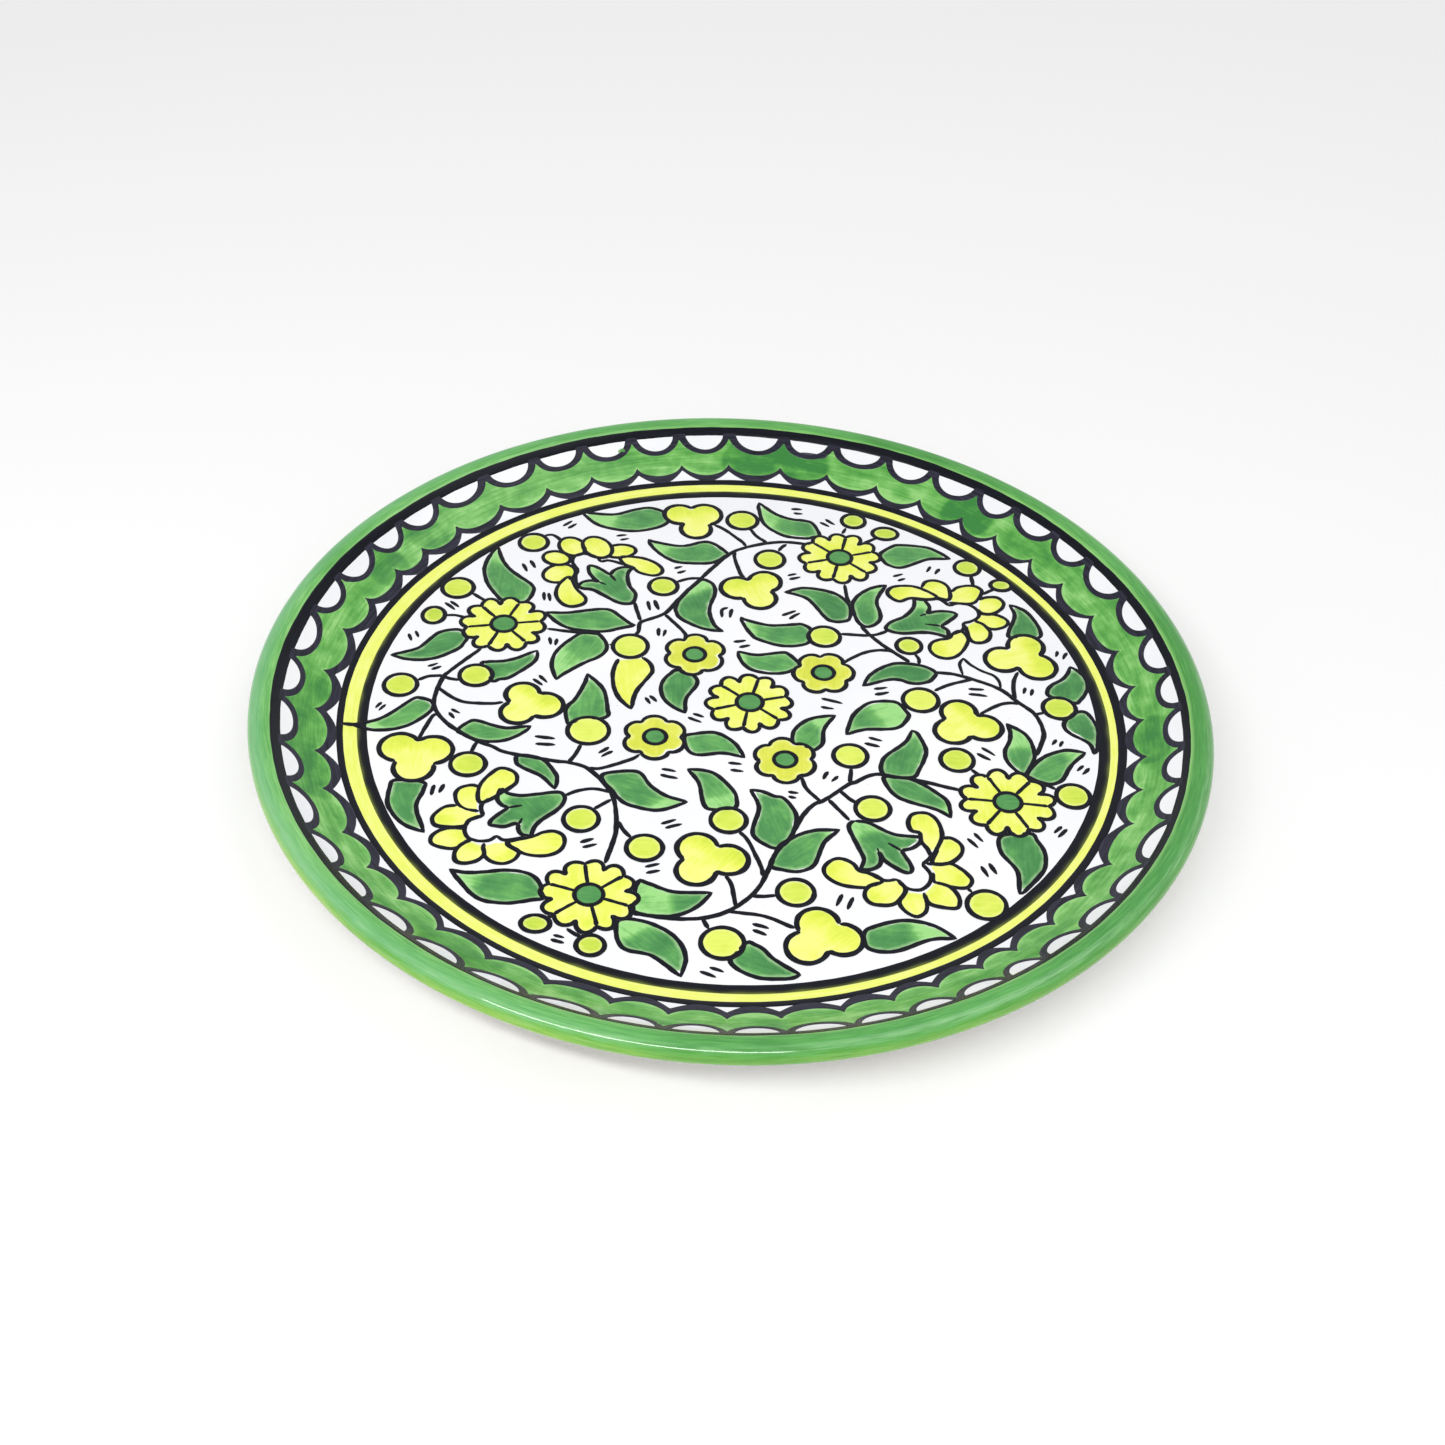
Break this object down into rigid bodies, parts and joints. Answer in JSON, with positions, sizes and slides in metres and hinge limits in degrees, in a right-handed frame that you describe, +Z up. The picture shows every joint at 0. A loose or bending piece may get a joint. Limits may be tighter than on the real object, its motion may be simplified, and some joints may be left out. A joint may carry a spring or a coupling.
{
  "type": "ceramic plate",
  "caption": "Shallow round glazed earthenware plate with a flat painted well, a sloping scalloped border, a green rounded lip and a low foot ring.",
  "frame": {"origin": "on the plate's axis, in the plane that the foot ring stands on", "axes": "+Z up along the plate's axis; -Y is the side nearest the viewer of the painted design"},
  "size_m": [0.27, 0.27, 0.0221],
  "materials": {
    "bare_clay": "unglazed fired earthenware, matt",
    "white_glaze": "glossy white glaze",
    "green_paint": "brushed green paint under glossy clear glaze",
    "yellow_paint": "brushed lemon yellow paint under glossy clear glaze",
    "black_paint": "raised black outline paint under glossy clear glaze"
  },
  "bodies": {
    "root": {"clay_body": "bare_clay", "well_glaze": "white_glaze", "inner_black_ring": "black_paint", "yellow_ring": "yellow_paint", "middle_black_ring": "black_paint", "border_glaze": "white_glaze", "outer_black_ring": "black_paint", "green_lip_glaze": "green_paint", "back_glaze": "white_glaze", "foot_recess_glaze": "white_glaze"}
  },
  "joints": []
}
